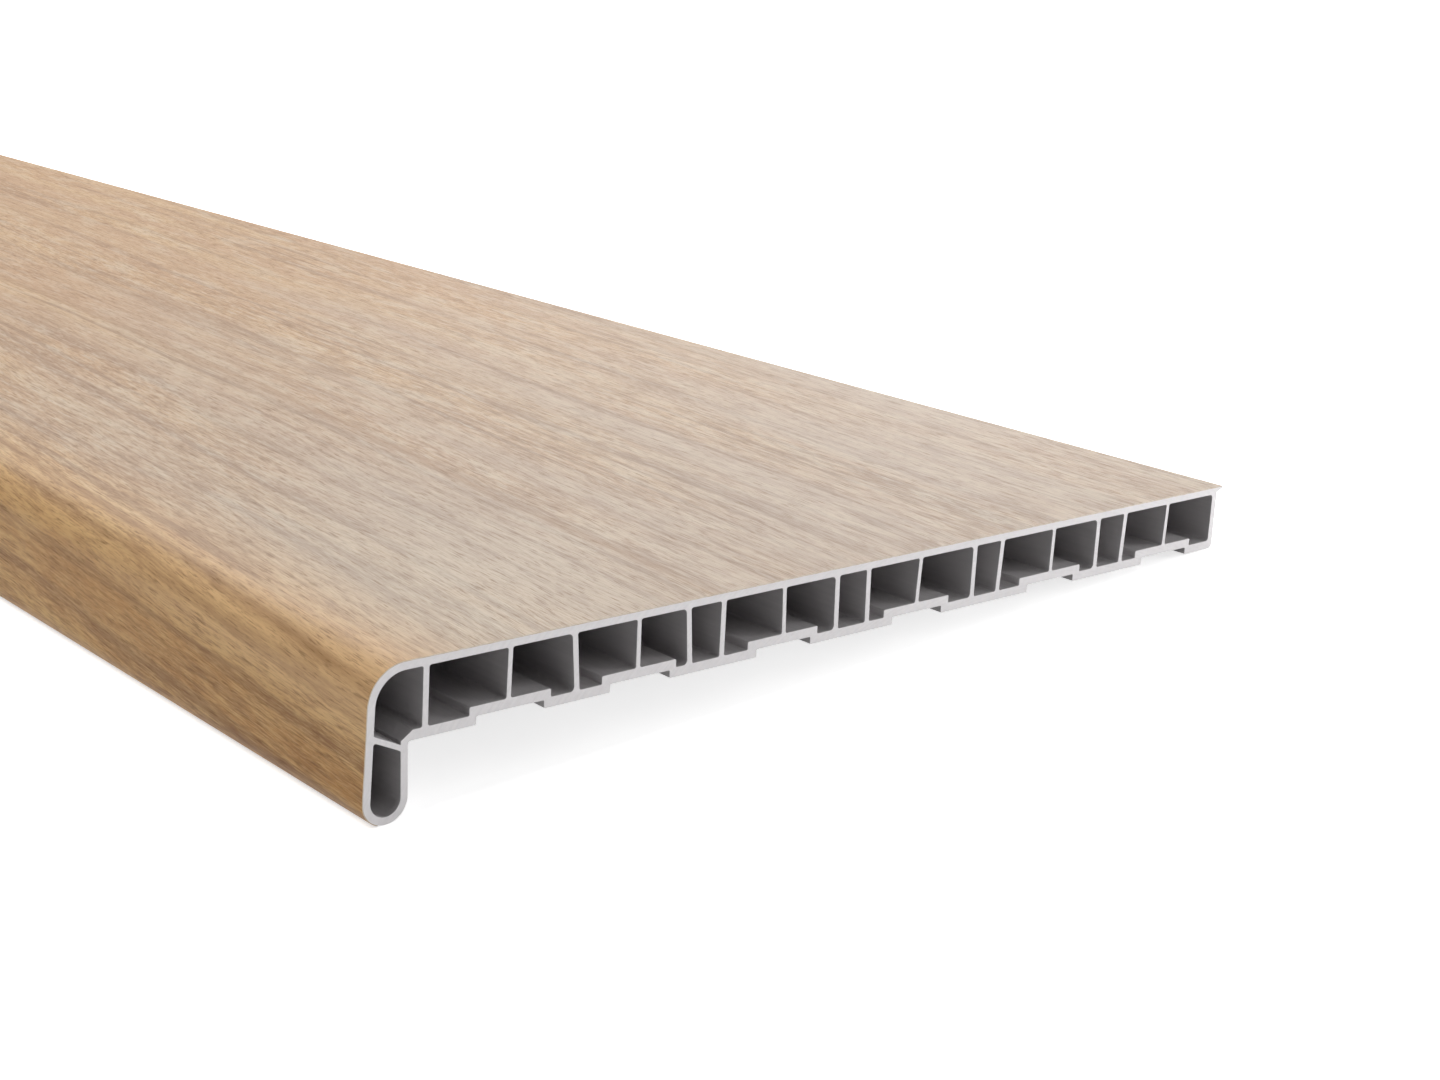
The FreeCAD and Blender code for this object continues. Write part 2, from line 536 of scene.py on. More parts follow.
        colour = lay_colour(tree, self.honey, self.straw, (layers[OakLayer.BANDS], self.straw_in_bands))
        # The print's rose blushes on the face, held to the share of rose-grey and its painted sheen.
        colour = lay_colour(tree, colour, self.rose, (blushes, self.rose_in_blushes), rose_and_sheen)
        # Painted highlight over the round, laid under the marks and again over them.
        colour = lay_colour(tree, colour, self.round_highlight_colour, round_highlight)
        colour = self.marked(tree, film, colour, off_nose, rose_and_sheen)
        colour = lay_colour(tree, colour, self.round_highlight_colour, round_highlight, self.highlight_over_marks)
        colour = self.heart_lined(tree, film, colour)
        pale = ((film.laid, self.pale_rise), off_nose, (film.along, self.pale_growth))
        colour = lay_colour(tree, colour, self.bloom, *pale)
        # Rose-grey veil: partly the print's tone, partly painted sheen.
        colour = lay_colour(tree, colour, self.rose, rose_and_sheen, self.sheen_veil)

        dashes = layers[OakLayer.DASHES]
        figure = layers[OakLayer.FIGURE]
        limit = faded(tree, (figure, self.pore_limit))
        pores = faded(tree, (weighted_sum(tree, dashes, (limit, -1.0)), self.pore_edge))
        height = weighted_sum(
            tree,
            0.0,
            (figure, self.emboss_figure),
            (dashes, self.emboss_dashes),
            (layers[OakLayer.HAIRS], self.emboss_hairs),
        )
        inputs = {
            "Base Color": lay_colour(tree, colour, self.pore, pores),
            "Roughness": weighted_sum(tree, self.roughness, (pores, self.pore_roughness)),
            "Specular IOR Level": self.specular,
        }
        finish_surface(tree, inputs, (height, self.emboss_depth))
        return material


@dataclass(frozen=True)
class CutFilmEdge:
    """The film's own cut edge: the pale PVC base under the print, a hair line beside the face."""

    base: str = "#cfc6bb"
    stain: str = "#bfae98"
    mottle: float = 2.5
    tone: Fade = Fade(0.35, 0.65)
    roughness: Fade = Fade(0.3, 0.7, 0.5, 0.65)

    def material(self) -> Material:
        """Build the material of the film's cut edge, pale with a faint stain of the print.

        Returns:
            The material.
        """
        material, tree = new_surface("pvc_film_cut_edge")
        place = add_node(tree, "ShaderNodeTexCoord").outputs["Object"]
        noise = add_node(tree, "ShaderNodeTexNoise", {"Vector": place, "Scale": 1 / (self.mottle * MM)})
        mottle = noise.outputs["Fac"]
        inputs = {
            "Base Color": lay_colour(tree, self.base, self.stain, (mottle, self.tone)),
            "Roughness": faded(tree, (mottle, self.roughness)),
        }
        finish_surface(tree, inputs)
        return material


@dataclass(frozen=True)
class RigidPvc:
    """Rigid unplasticised PVC in its plain off-white. Its extruded skin is coloured darker than its sawn
    face: partly the plastic's grey, partly painted shade for the dark inside of the chambers, which lies
    on the outer skin too.

    As extruded it is smooth and half glossy, with hair lines from the die along the board.
    Where it is sawn it is matt and a little chalky, with the faint arcs that the blade left.
    Lengths and depths are in millimetres.
    """

    surface: PvcSurface
    # Skin colours: the plastic's grey, darkened with painted shade for the chambers.
    skin: str = "#b1aeaf"
    skin_shade: str = "#aaa7a8"
    skin_tone: Fade = Fade(0.15, 0.4)
    skin_roughness: Fade = Fade(0.3, 0.7, 0.38, 0.48)
    sawn_face: str = "#e5e2e3"
    sawn_shade: str = "#dedbdc"
    sawn_tone: Fade = Fade(0.1, 0.45)
    sawn_roughness: Fade = Fade(0.1, 0.45, 0.5, 0.7)
    die_line_length: float = 260.0
    die_line_width: float = 1.3
    die_line_depth: float = 0.006
    cloud: float = 60.0
    blade_radius: float = 150.0
    blade_place: float = 60.0
    blade_rise: float = 30.0
    tooth_mark: float = 0.8
    speckle: float = 1.4
    saw_mark_depth: float = 0.0015
    detail: float = 2.0

    def material(self) -> Material:
        """Build the material for faces made this way.

        Returns:
            The material.
        """
        if self.surface is PvcSurface.EXTRUDED:
            return self.extruded()
        return self.sawn()

    def extruded(self) -> Material:
        """Build the half-gloss skin that the die leaves, with its hair lines.

        Returns:
            The material.
        """
        material, tree = new_surface("rigid_pvc_as_extruded")
        place = add_node(tree, "ShaderNodeTexCoord").outputs["Object"]
        along = 1 / (self.die_line_length * MM)
        across = 1 / (self.die_line_width * MM)
        stretch = (along, across, across)
        drawn = add_node(tree, "ShaderNodeVectorMath", {0: place, 1: stretch}, operation="MULTIPLY")
        line_inputs = {"Vector": drawn.outputs[0], "Scale": 1.0, "Detail": self.detail}
        lines = add_node(tree, "ShaderNodeTexNoise", line_inputs).outputs["Fac"]
        cloud_inputs = {"Vector": place, "Scale": 1 / (self.cloud * MM), "Detail": self.detail}
        clouds = add_node(tree, "ShaderNodeTexNoise", cloud_inputs).outputs["Fac"]
        both = faded(tree, lines, clouds)
        inputs = {
            "Base Color": lay_colour(tree, self.skin, self.skin_shade, (both, self.skin_tone)),
            "Roughness": faded(tree, (lines, self.skin_roughness)),
        }
        finish_surface(tree, inputs, (lines, self.die_line_depth))
        return material

    def sawn(self) -> Material:
        """Build the matt cut face, with the arcs of the blade and a fine speckle.

        Returns:
            The material.
        """
        material, tree = new_surface("rigid_pvc_sawn")
        place = add_node(tree, "ShaderNodeTexCoord").outputs["Object"]
        hub = (0.0, self.blade_place * MM, (self.blade_rise - self.blade_radius) * MM)
        from_hub = add_node(tree, "ShaderNodeVectorMath", {0: place, 1: hub}, operation="SUBTRACT")
        in_cut = {0: from_hub.outputs[0], 1: (0.0, 1.0, 1.0)}
        flat = add_node(tree, "ShaderNodeVectorMath", in_cut, operation="MULTIPLY").outputs[0]
        reach = add_node(tree, "ShaderNodeVectorMath", {0: flat}, operation="LENGTH").outputs["Value"]
        arc_inputs = {"W": reach, "Scale": 1 / (self.tooth_mark * MM), "Detail": 1.0}
        arcs = add_node(tree, "ShaderNodeTexNoise", arc_inputs, noise_dimensions="1D")
        speckle_inputs = {"Vector": place, "Scale": 1 / (self.speckle * MM), "Detail": self.detail}
        speckles = add_node(tree, "ShaderNodeTexNoise", speckle_inputs)
        both = faded(tree, arcs.outputs["Fac"], speckles.outputs["Fac"])
        inputs = {
            "Base Color": lay_colour(tree, self.sawn_face, self.sawn_shade, (both, self.sawn_tone)),
            "Roughness": faded(tree, (both, self.sawn_roughness)),
        }
        finish_surface(tree, inputs, (both, self.saw_mark_depth))
        return material


@dataclass(frozen=True)
class SectionSizes:
    """Sizes of the board's section in millimetres, the same as in the part's source."""

    board_length: float = 1000.0
    board_width: float = 300.0
    board_thickness: float = 19.0
    nose_height: float = 37.5
    film_thickness: float = 0.25
    film_wrap_angle: float = 70.0
    nose_depth: float = 11.8
    nose_lean_angle: float = 3.2
    face_round: float = 9.75
    nose_heel_round: float = 0.8
    divider_thickness: float = 1.3
    divider_angle: float = 26.0
    divider_drop: float = 0.45
    heel_rise: float = 0.4
    heel_run: float = 3.1
    skin_wall: float = 1.85
    floor_wall: float = 2.5
    back_wall: float = 1.9
    main_web: float = 1.5
    groove_web: float = 1.2
    groove_depth: float = 2.1
    groove_round: float = 0.4
    lip_reach: float = 2.5
    lip_root: float = 1.3
    lip_tip: float = 0.4
    back_round: float = 1.5
    chamber_round: float = 0.6
    main_web_round: float = 1.2
    narrowest_chamber: float = 8.0
    first_web: float = 16.4
    first_web_lean: float = 0.3
    bays: tuple[Bay, ...] = (
        Bay(22.6, 18.9, 0.0, (0.5, -0.9, 0.0), Groove(9.0, 9.9, 10.9, 11.8)),
        Bay(18.6, 15.7, 10.7, (0.0, -0.9, 0.1), Groove(8.3, 9.9, 10.8, 11.8)),
        Bay(20.3, 18.2, 11.1, (-0.5, -0.3, -0.3), Groove(8.8, 9.5, 11.8, 11.8)),
        Bay(18.7, 21.2, 10.5, (0.8, 0.1, 0.9), Groove(9.1, 9.3, 12.4, 11.9)),
        Bay(21.4, 19.2, 11.5, (0.4, 0.1, 0.8), Groove(9.4, 9.8, 12.9, 12.4)),
        Bay(19.3, 21.4, 10.6, (0.6, 0.0, 0.0), Groove(9.8, 10.4, 12.9, 12.1)),
    )

    @property
    def underside(self) -> float:
        """Height of the board's underside above the nose tip."""
        return self.nose_height - self.board_thickness

    @property
    def face_of_plastic(self) -> float:
        """Height of the plastic's face under the film."""
        return self.nose_height - self.film_thickness

    @property
    def ceiling(self) -> float:
        """Height of the chambers' ceiling."""
        return self.face_of_plastic - self.skin_wall

    @property
    def low_floor(self) -> float:
        """Height of the chambers' floor away from the grooves."""
        return self.underside + self.floor_wall

    @property
    def groove_roof(self) -> float:
        """Height of the grooves' roof."""
        return self.underside + self.groove_depth

    @property
    def raised_floor(self) -> float:
        """Height of the chambers' floor over the grooves."""
        return self.groove_roof + self.floor_wall

    @property
    def back_outside(self) -> float:
        """Place of the back wall's outer side."""
        return self.board_width - self.lip_reach

    @property
    def back_inside(self) -> float:
        """Place of the back wall's inner side."""
        return self.back_outside - self.back_wall

    @property
    def tip_radius(self) -> float:
        """Radius of the plastic round the nose tip."""
        return (self.nose_depth - self.film_thickness) / 2

    @property
    def tip_centre(self) -> float:
        """Place of the middle of the nose tip's round."""
        return self.film_thickness + self.tip_radius

    @property
    def nose_back_inside(self) -> float:
        """Place of the inner side of the nose's back wall."""
        return self.nose_depth - self.skin_wall

    def front_face(self, z: float, outward: float) -> float:
        """Find the leaning front.

        Args:
            z: height above the nose tip.
            outward: how far outside the bare plastic.

        Returns:
            The place of the front at that height.
        """
        lean = math.radians(self.nose_lean_angle)
        run = math.sin(lean) * (z - self.tip_radius) - self.tip_radius - outward
        return self.tip_centre + run / math.cos(lean)

    def webs(self) -> list[Web]:
        """Place the webs from the nose to the back, as many as the width has room for.

        Returns:
            The webs in order.
        """
        placed = [Web(self.first_web, self.first_web_lean, self.main_web, self.chamber_round, None)]
        centre = self.first_web
        index = 0
        while True:
            bay = self.bays[min(index, len(self.bays) - 1)]
            groove_room = bay.groove.back_step + 3 * self.chamber_round
            narrowest = self.narrowest_chamber
            steps = (
                (bay.to_groove_web, self.groove_web, self.chamber_round, bay.groove, groove_room),
                (bay.to_main_web, self.main_web, self.main_web_round, None, narrowest),
                (bay.to_twin_web, self.main_web, self.chamber_round, None, narrowest),
            )
            for (spacing, thickness, front_round, groove, room), lean in zip(steps, bay.leans):
                if spacing == 0:
                    continue
                centre += spacing
                if centre > self.back_inside - room:
                    return placed
                placed.append(Web(centre, lean, thickness, front_round, groove))
            index += 1

    def web_side(self, web: Web, z: float, side: int) -> float:
        """Find the side of a leaning web.

        Args:
            web: the web.
            z: height above the nose tip.
            side: -1 for its nose side, 1 for its back side.

        Returns:
            The place of that side at that height.
        """
        middle = (self.ceiling + self.low_floor) / 2
        leaned = web.lean * (z - middle) / (self.ceiling - self.low_floor)
        return web.centre + leaned + side * web.thickness / 2

    def in_part(self, y: float, z: float) -> tuple[float, float]:
        """Move a section place into the part's frame, still in millimetres."""
        return (y - self.board_width / 2, z)


def rounded_loop(
    corners: list[Corner], step: float = 9.0, small: float = 2.0, fewest: int = 3, hold: float = 0.35
) -> list[Vector]:
    """Lay points round a closed outline, each corner turned by its own arc.

    A point is held just before and after each arc that has room for it, so that shading turns
    in the round and not across the flat beside it.

    Args:
        corners: the corners in order.
        step: largest turn between two points on an arc, in degrees.
        small: radius in millimetres past which an arc turns in finer steps.
        fewest: how many steps an arc has at least.
        hold: distance of the held points from the arc, in millimetres.

    Returns:
        The points as (y, z) vectors.
    """
    places = [Vector((corner.y, corner.z)) for corner in corners]
    points: list[Vector] = []
    for index, corner in enumerate(corners):
        here = places[index]
        back = places[index - 1] - here
        ahead = places[(index + 1) % len(places)] - here
        if corner.radius == 0:
            points.append(here)
            continue
        half_angle = back.angle(ahead) / 2
        reach = corner.radius / math.tan(half_angle)
        middle = (back.normalized() + ahead.normalized()).normalized()
        hub = here + middle * (corner.radius / math.sin(half_angle))
        entry = here + back.normalized() * reach
        leave = here + ahead.normalized() * reach
        turn = math.degrees(math.pi - 2 * half_angle)
        finest = step * math.sqrt(small / max(corner.radius, small))
        count = max(fewest, math.ceil(turn / finest))
        first = entry - hub
        sweep = first.angle_signed(leave - hub)
        room = 4 * (reach + hold)
        if back.length > room:
            points.append(entry + back.normalized() * hold)
        for number in range(count + 1):
            swing = -sweep * number / count
            cosine = math.cos(swing)
            sine = math.sin(swing)
            spoke = Vector((first.x * cosine - first.y * sine, first.x * sine + first.y * cosine))
            points.append(hub + spoke)
        if ahead.length > room:
            points.append(leave + ahead.normalized() * hold)
    return points


def add_object(name: str, data: Any) -> Object:
    """Make an object and put it in the scene.

    Args:
        name: the object's name.
        data: its mesh, light or camera.

    Returns:
        The object.
    """
    made = bpy.data.objects.new(name, data)
    bpy.context.scene.collection.objects.link(made)
    return made


def wire_object(name: str, loops: list[list[tuple[float, float, float]]], closed: bool) -> Object:
    """Make an object of bare edges for a geometry tree to work on.

    Args:
        name: the object's name.
        loops: the points of each loop or path.
        closed: whether each comes back to its start.

    Returns:
        The linked object.
    """
    mesh = bpy.data.meshes.new(name)
    points: list[tuple[float, float, float]] = []
    edges: list[tuple[int, int]] = []
    for loop in loops:
        first = len(points)
        points.extend(loop)
        last = len(points) - 1
        edges.extend((number, number + 1) for number in range(first, last))
        if closed:
            edges.append((last, first))
    mesh.from_pydata(points, edges, [])
    return add_object(name, mesh)


def geometry_group(name: str, sockets: dict[str, str]) -> tuple[NodeTree, Any, Any]:
    """Start a geometry tree with named inputs.

    Args:
        name: the tree's name.
        sockets: for each input, its name and its socket type.

    Returns:
        The tree, its input node and its output node.
    """
    tree = bpy.data.node_groups.new(name, "GeometryNodeTree")
    tree.is_modifier = True
    tree.interface.new_socket("Geometry", in_out="INPUT", socket_type="NodeSocketGeometry")
    for label, kind in sockets.items():
        tree.interface.new_socket(label, in_out="INPUT", socket_type=kind)
    tree.interface.new_socket("Geometry", in_out="OUTPUT", socket_type="NodeSocketGeometry")
    return tree, add_node(tree, "NodeGroupInput"), add_node(tree, "NodeGroupOutput")


def join_and_seal(tree: NodeTree, parts: list[Any], angle: float = 30.0, weld: float = 0.002) -> Any:
    """Join the parts of a closed mesh, weld their seams and shade it smooth except over its corners.

    Args:
        tree: the geometry tree.
        parts: the sockets with the parts, in millimetres.
        angle: turn in degrees past which an edge stays sharp.
        weld: distance in millimetres within which points become one.

    Returns:
        The socket with the mesh.
    """
    joined = add_node(tree, "GeometryNodeJoinGeometry")
    for part in parts:
        tree.links.new(part, joined.inputs[0])
    seams = {"Geometry": joined.outputs[0], "Distance": weld}
    welded = add_node(tree, "GeometryNodeMergeByDistance", seams)
    turn = add_node(tree, "GeometryNodeInputMeshEdgeAngle")
    corner = add_node(
        tree,
        "FunctionNodeCompare",
        {0: turn.outputs["Unsigned Angle"], 1: math.radians(angle)},
        data_type="FLOAT",
        operation="GREATER_THAN",
    )
    faces = {"Geometry": welded.outputs[0], "Shade Smooth": True}
    smooth = add_node(tree, "GeometryNodeSetShadeSmooth", faces, domain="FACE")
    sharp = add_node(
        tree,
        "GeometryNodeSetShadeSmooth",
        {"Geometry": smooth.outputs[0], "Selection": corner.outputs[0], "Shade Smooth": False},
        domain="EDGE",
    )
    return sharp.outputs[0]


def dress_ends(tree: NodeTree, geometry: Any, sides: Any, ends: Any, steepness: float = 0.7) -> Any:
    """Dress a length of stock: one material along it and another on its sawn ends.

    Args:
        tree: the geometry tree.
        geometry: the socket with the mesh, lying along X.
        sides: the socket with the material of the long faces.
        ends: the socket with the material of the two ends.
        steepness: the share of X in a face's normal past which the face is an end.

    Returns:
        The socket with the finished mesh, its instances realized.
    """
    along = add_node(tree, "GeometryNodeSetMaterial", {"Geometry": geometry, "Material": sides})
    facing = add_node(tree, "GeometryNodeInputNormal")
    parts = add_node(tree, "ShaderNodeSeparateXYZ", {0: facing.outputs[0]})
    facing_x = add_node(tree, "ShaderNodeMath", {0: parts.outputs["X"]}, operation="ABSOLUTE")
    test = {0: facing_x.outputs[0], 1: steepness}
    on_end = add_node(tree, "ShaderNodeMath", test, operation="GREATER_THAN")
    whole = add_node(tree, "GeometryNodeRealizeInstances", {"Geometry": along.outputs[0]})
    dressed = add_node(
        tree,
        "GeometryNodeSetMaterial",
        {"Geometry": whole.outputs[0], "Selection": on_end.outputs[0], "Material": ends},
    )
    return dressed.outputs[0]


def run_tree(made: Object, tree: NodeTree, values: dict[str, Any], name: str) -> Object:
    """Run a geometry tree on an object and keep its result as a plain mesh.

    Args:
        made: the object that the tree works on; it is used up.
        tree: the geometry tree.
        values: a value for each named input.
        name: the name of the piece.

    Returns:
        The finished piece.
    """
    modifier = made.modifiers.new(tree.name, "NODES")
    modifier.node_group = tree
    for item in tree.interface.items_tree:
        if item.in_out == "INPUT" and item.name in values:
            modifier[item.identifier] = values[item.name]
    depsgraph = bpy.context.evaluated_depsgraph_get()
    mesh = bpy.data.meshes.new_from_object(made.evaluated_get(depsgraph), depsgraph=depsgraph)
    mesh.name = name
    made.modifiers.clear()
    bpy.data.objects.remove(made)
    return add_object(name, mesh)


@dataclass
class HollowBoard:
    """The plastic extrusion: skin, floor, webs, nose and back lip as one closed piece."""

    sizes: SectionSizes = field(default_factory=SectionSizes)
    as_extruded: RigidPvc = RigidPvc(PvcSurface.EXTRUDED)
    sawn: RigidPvc = RigidPvc(PvcSurface.SAWN)

    def outline(self) -> list[Corner]:
        """List the corners round the outside of the section.

        Returns:
            The corners in order.
        """
        size = self.sizes
        top = size.face_of_plastic
        corners = [
            Corner(size.board_width, top, 0),
            Corner(size.front_face(top, 0), top, size.face_round),
            Corner(size.front_face(0, 0), 0, size.tip_radius),
            Corner(size.nose_depth, 0, size.tip_radius),
            Corner(size.nose_depth, size.underside, size.nose_heel_round),
        ]
        for web in size.webs():
            if web.groove:
                front = web.centre - web.groove.front
                back = web.centre + web.groove.back
                heights = (size.underside, size.groove_roof, size.groove_roof, size.underside)
                for y, z in zip((front, front, back, back), heights):
                    corners.append(Corner(y, z, size.groove_round))
        corners.append(Corner(size.back_outside, size.underside, size.back_round))
        corners.append(Corner(size.back_outside, top - size.lip_root, 0))
        corners.append(Corner(size.board_width, top - size.lip_tip, 0))
        return corners

    def divider_top(self, y: float) -> float:
        """Find the height of the nose divider's upper side at y."""
        fall = math.tan(math.radians(self.sizes.divider_angle))
        return self.sizes.underside - self.sizes.divider_drop + fall * (self.sizes.nose_back_inside - y)

    def divider_meets_front(self, depth: float) -> tuple[float, float]:
        """Find where the divider meets the inside of the nose's front.

        Args:
            depth: how far below the divider's upper side, in millimetres.

        Returns:
            The place (y, z).
        """
        fall = math.tan(math.radians(self.sizes.divider_angle))
        slant = math.tan(math.radians(self.sizes.nose_lean_angle))
        base = self.sizes.front_face(0, -self.sizes.skin_wall)
        y = (base + slant * (self.divider_top(0) - depth)) / (1 + slant * fall)
        return y, self.divider_top(y) - depth

    def nose_chambers(self) -> list[list[Corner]]:
        """List the corners of the two chambers in the nose.

        Returns:
            The corners of the lower chamber and of the upper one.
        """
        size = self.sizes
        rounding = size.chamber_round
        inner_tip = size.tip_radius - size.skin_wall
        depth = size.divider_thickness / math.cos(math.radians(size.divider_angle))
        low_y, low_z = self.divider_meets_front(depth)
        high_y, high_z = self.divider_meets_front(0)
        inside = size.nose_back_inside
        first = size.webs()[0]
        upper_round = size.face_round - size.skin_wall
        lower = [
            Corner(low_y, low_z, rounding),
            Corner(size.front_face(size.skin_wall, -size.skin_wall), size.skin_wall, inner_tip),
            Corner(inside, size.skin_wall, inner_tip),
            Corner(inside, self.divider_top(inside) - depth, rounding),
        ]
        upper = [
            Corner(size.web_side(first, size.ceiling, -1), size.ceiling, rounding),
            Corner(size.front_face(size.ceiling, -size.skin_wall), size.ceiling, upper_round),
            Corner(high_y, high_z, 0),
            Corner(inside, self.divider_top(inside), 0),
            Corner(inside, size.underside + size.heel_rise, 0),
            Corner(inside + size.heel_run, size.low_floor, 0),
            Corner(size.web_side(first, size.low_floor, -1), size.low_floor, rounding),
        ]
        return [lower, upper]

    def chamber(self, web: Web, following: Web) -> list[Corner]:
        """List the corners of the chamber between two webs, its floor stepped beside a groove.

        Args:
            web: the web at its front.
            following: the web at its back.

        Returns:
            The corners in order.
        """
        size = self.sizes
        rounding = size.chamber_round
        end_round = following.front_round
        left_floor = size.raised_floor if web.groove else size.low_floor
        right_floor = size.raised_floor if following.groove else size.low_floor
        step = None
        if web.groove and not following.groove:
            step = web.centre + web.groove.back_step
        if following.groove and not web.groove:
            step = following.centre - following.groove.front_step
        corners = [Corner(size.web_side(web, size.ceiling, 1), size.ceiling, rounding)]
        start = size.web_side(web, left_floor, 1) + 2 * rounding
        end = size.web_side(following, right_floor, -1) - end_round - rounding
        if step is not None and start < step < end:
            corners.append(Corner(size.web_side(web, left_floor, 1), left_floor, rounding))
            corners.append(Corner(step, left_floor, size.groove_round))
            corners.append(Corner(step, right_floor, size.groove_round))
            corners.append(Corner(size.web_side(following, right_floor, -1), right_floor, end_round))
        else:
            floor = max(left_floor, right_floor)
            corners.append(Corner(size.web_side(web, floor, 1), floor, rounding))
            corners.append(Corner(size.web_side(following, floor, -1), floor, end_round))
        corners.append(Corner(size.web_side(following, size.ceiling, -1), size.ceiling, end_round))
        return corners

    def board_chambers(self) -> list[list[Corner]]:
        """List the chambers between the webs and up to the back wall.

        Returns:
            The corners of each chamber.
        """
        size = self.sizes
        back_centre = size.back_inside + size.back_wall / 2
        back = Web(back_centre, 0.0, size.back_wall, size.main_web_round, None)
        webs = size.webs()
        return [self.chamber(web, following) for web, following in zip(webs, webs[1:] + [back])]

    def section(self) -> list[list[tuple[float, float, float]]]:
        """Lay the section's loops flat, in millimetres, for the tree to fill.

        Returns:
            The points of each loop.
        """
        loops = []
        for corners in [self.outline()] + self.nose_chambers() + self.board_chambers():
            loop = []
            for place in rounded_loop(corners):
                y, z = self.sizes.in_part(place.x, place.y)
                loop.append((y, z, 0.0))
            loops.append(loop)
        return loops

    def extrusion_tree(self) -> NodeTree:
        """Build the tree that fills a flat section and draws it out along the board.

        Returns:
            The tree, with the inputs Length, Skin and Cut.
        """
        tree, given, result = geometry_group(
            "extrude_section",
            {"Length": "NodeSocketFloat", "Skin": "NodeSocketMaterial", "Cut": "NodeSocketMaterial"},
        )
        loops = add_node(tree, "GeometryNodeMeshToCurve", {"Mesh": given.outputs["Geometry"]})
        filled = add_node(tree, "GeometryNodeFillCurve", {"Curve": loops.outputs[0]})
        along = add_node(tree, "ShaderNodeCombineXYZ", {"Z": 1.0})
        drawn = add_node(
            tree,
            "GeometryNodeExtrudeMesh",
            {
                "Mesh": filled.outputs[0],
                "Offset": along.outputs[0],
                "Offset Scale": given.outputs["Length"],
                "Individual": False,
            },
            mode="FACES",
        )
        start = add_node(tree, "GeometryNodeFlipFaces", {"Mesh": filled.outputs[0]})
        sealed = join_and_seal(tree, [drawn.outputs["Mesh"], start.outputs[0]])
        halved = weighted_sum(tree, 0.0, (given.outputs["Length"], -MM / 2))
        far_end = add_node(tree, "ShaderNodeCombineXYZ", {"X": halved})
        placed = add_node(
            tree,
            "GeometryNodeTransform",
            {
                "Geometry": sealed,
                "Translation": far_end.outputs[0],
                "Rotation": (math.pi / 2, 0.0, math.pi / 2),
                "Scale": (MM, MM, MM),
            },
        )
        dressed = dress_ends(tree, placed.outputs[0], given.outputs["Skin"], given.outputs["Cut"])
        tree.links.new(dressed, result.inputs[0])
        return tree

    def build(self) -> Object:
        """Draw the section out to the board's length and dress it.

        Returns:
            The finished piece, which stands for the plastic in the frame.
        """
        wires = wire_object("section_loops", self.section(), closed=True)
        values = {
            "Length": self.sizes.board_length,
            "Skin": self.as_extruded.material(),
            "Cut": self.sawn.material(),
        }
        piece = run_tree(wires, self.extrusion_tree(), values, "pvc_hollow_board")
        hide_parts("hollow_board")
        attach(piece, "root")
        return piece


